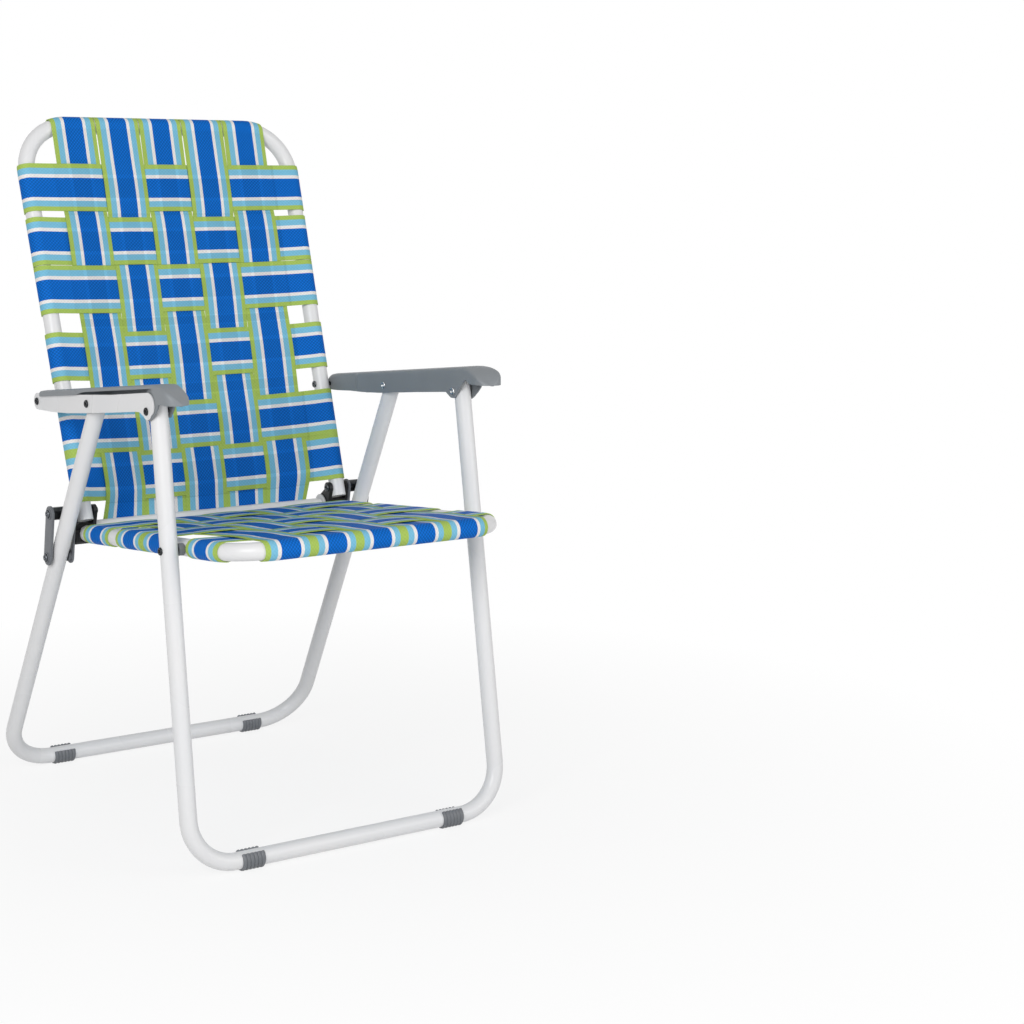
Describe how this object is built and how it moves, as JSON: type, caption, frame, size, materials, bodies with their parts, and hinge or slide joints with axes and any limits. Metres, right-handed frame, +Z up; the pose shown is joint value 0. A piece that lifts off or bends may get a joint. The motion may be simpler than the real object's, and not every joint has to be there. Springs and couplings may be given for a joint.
{
  "type": "folding_webbed_lawn_chair",
  "caption": "Folding lawn chair with a white bent-tube frame, grey armrests and woven blue, green and white striped webbing",
  "frame": {"origin": "on the floor, in the middle of the chair's footprint", "axes": "+X to the sitter's left, +Y to the rear, +Z up"},
  "size_m": [0.4982, 0.6396, 0.9187],
  "materials": {
    "white_paint": "gloss powder coat",
    "grey_plastic": "satin moulding",
    "dark_plastic": "satin moulding",
    "pale_plastic": "satin moulding",
    "zinc_steel": "dull zinc",
    "striped_webbing": "woven plastic yarn"
  },
  "bodies": {
    "front_legs": {"front_leg_frame": "white_paint", "foot_front_right": "grey_plastic", "foot_front_left": "grey_plastic", "seat_spacer_right": "dark_plastic", "seat_spacer_left": "dark_plastic", "seat_rivet_right": "zinc_steel", "seat_rivet_left": "zinc_steel"},
    "arms": {"arm_right": "grey_plastic", "arm_left": "grey_plastic", "arm_plate_right": "white_paint", "arm_plate_left": "white_paint", "arm_rivet_front_right": "zinc_steel", "arm_rivet_front_left": "zinc_steel", "arm_rivet_middle_right": "zinc_steel", "arm_rivet_middle_left": "zinc_steel", "arm_rivet_rear_right": "zinc_steel", "arm_rivet_rear_left": "zinc_steel"},
    "rear_legs": {"rear_leg_frame": "white_paint", "foot_rear_right": "grey_plastic", "foot_rear_left": "grey_plastic"},
    "links": {"link_inner_right": "dark_plastic", "link_inner_left": "dark_plastic", "link_outer_right": "dark_plastic", "link_outer_left": "dark_plastic", "link_pin_upper_right": "zinc_steel", "link_pin_upper_left": "zinc_steel", "link_pin_lower_right": "zinc_steel", "link_pin_lower_left": "zinc_steel"},
    "seat": {"seat_frame": "white_paint", "crossbar": "white_paint", "crossbar_bush_right": "pale_plastic", "crossbar_bush_left": "pale_plastic", "hinge_bracket_right": "dark_plastic", "hinge_bracket_left": "dark_plastic", "hinge_pin_right": "zinc_steel", "hinge_pin_left": "zinc_steel", "seat_strap_across_1": "striped_webbing", "seat_strap_across_2": "striped_webbing", "seat_strap_across_3": "striped_webbing", "seat_strap_across_4": "striped_webbing", "seat_strap_along_1": "striped_webbing", "seat_strap_along_2": "striped_webbing", "seat_strap_along_3": "striped_webbing", "seat_strap_along_4": "striped_webbing", "seat_strap_along_5": "striped_webbing"},
    "back": {"back_frame": "white_paint", "back_rivet_right": "zinc_steel", "back_rivet_left": "zinc_steel", "back_strap_across_1": "striped_webbing", "back_strap_across_2": "striped_webbing", "back_strap_across_3": "striped_webbing", "back_strap_across_4": "striped_webbing", "back_strap_across_5": "striped_webbing", "back_strap_across_6": "striped_webbing", "back_strap_down_1": "striped_webbing", "back_strap_down_2": "striped_webbing", "back_strap_down_3": "striped_webbing", "back_strap_down_4": "striped_webbing", "back_strap_down_5": "striped_webbing"}
  },
  "joints": [
    {"name": "arm_fold", "type": "hinge", "parent": "front_legs", "child": "arms", "pos_m": [0, -0.16583, 0.565], "axis": [-1, 0, 0], "range_deg": [0, 76]},
    {"name": "seat_fold", "type": "hinge", "parent": "front_legs", "child": "seat", "pos_m": [0, -0.19096, 0.398], "axis": [-1, 0, 0], "range_deg": [0, 81.95]},
    {"name": "back_fold", "type": "hinge", "parent": "seat", "child": "back", "pos_m": [0, 0.11487, 0.40001], "axis": [-1, 0, 0], "range_deg": [-84.8, 0]},
    {"name": "rear_leg_fold", "type": "hinge", "parent": "arms", "child": "rear_legs", "pos_m": [0, 0.00524, 0.55695], "axis": [-1, 0, 0], "range_deg": [-38.6, 0]},
    {"name": "link_fold", "type": "hinge", "parent": "rear_legs", "child": "links", "pos_m": [0, 0.1252, 0.33999], "axis": [-1, 0, 0], "range_deg": [0, 130.2]}
  ],
  "couplings": [
    {"joint": "seat_fold", "follows": "arm_fold", "ratio": 1.0777},
    {"joint": "back_fold", "follows": "arm_fold", "ratio": -1.1154},
    {"joint": "rear_leg_fold", "follows": "arm_fold", "ratio": -0.5073},
    {"joint": "link_fold", "follows": "arm_fold", "ratio": 1.7122}
  ]
}
